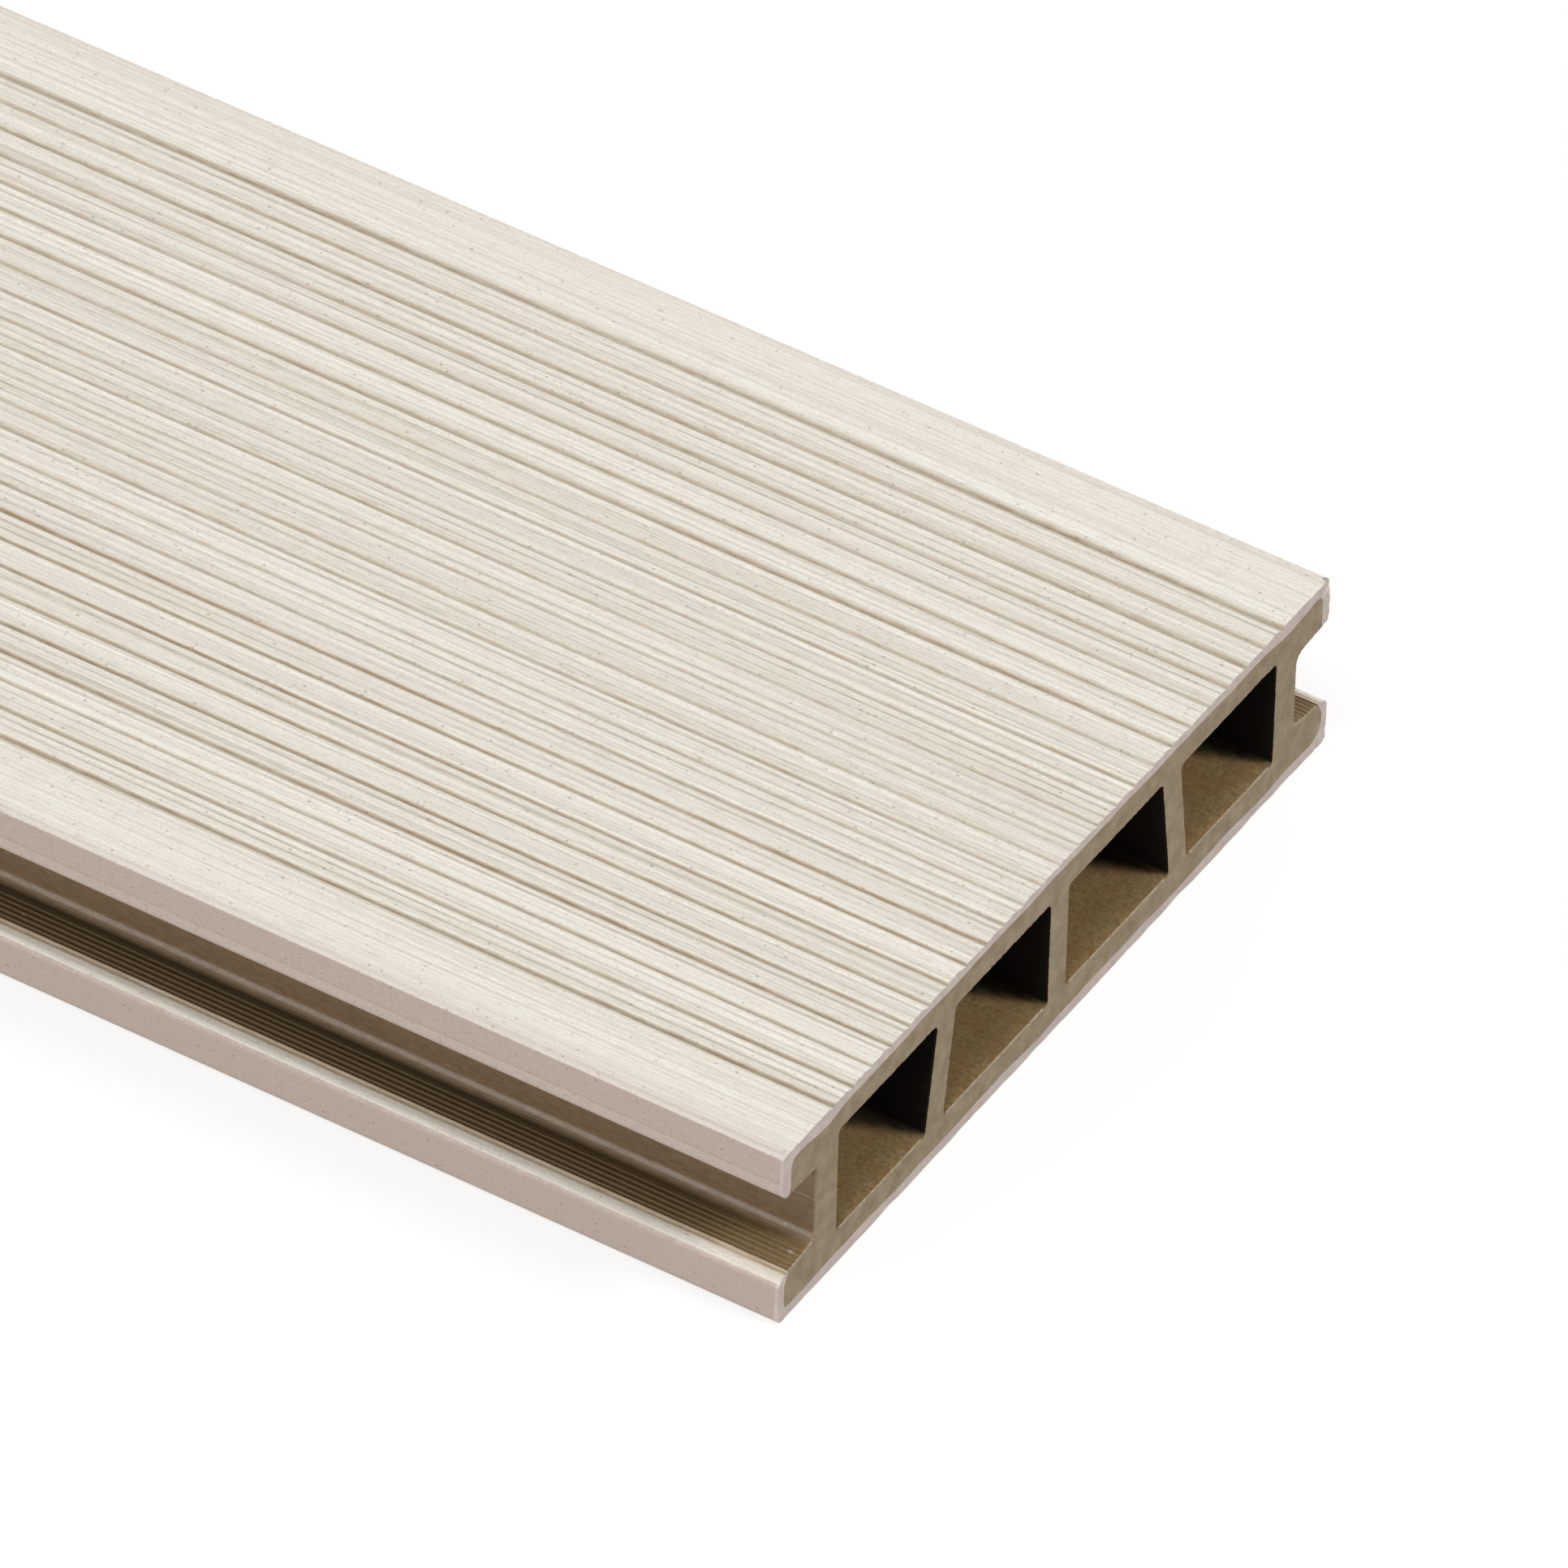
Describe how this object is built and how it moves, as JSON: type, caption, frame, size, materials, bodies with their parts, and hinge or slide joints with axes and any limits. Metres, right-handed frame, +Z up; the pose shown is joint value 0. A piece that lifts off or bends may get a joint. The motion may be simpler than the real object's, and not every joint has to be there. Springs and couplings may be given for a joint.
{
  "type": "decking board",
  "caption": "Hollow extruded decking board with a ribbed cream top, a capped underside and a clip slot along each side; laid flat on joists to make a deck.",
  "frame": {"origin": "middle of the underside, on the floor", "axes": "+X along the board, towards the cut end seen in the picture; +Y across the board; +Z up, out of the ribbed face"},
  "size_m": [2.2, 0.14, 0.03],
  "materials": {
    "core": "matt brown wood-plastic composite, sawn at the ends",
    "cap": "matt cream capstock with fine lines along the board"
  },
  "bodies": {
    "root": {"core": "core", "top_cap": "cap", "base_cap": "cap"}
  },
  "joints": []
}
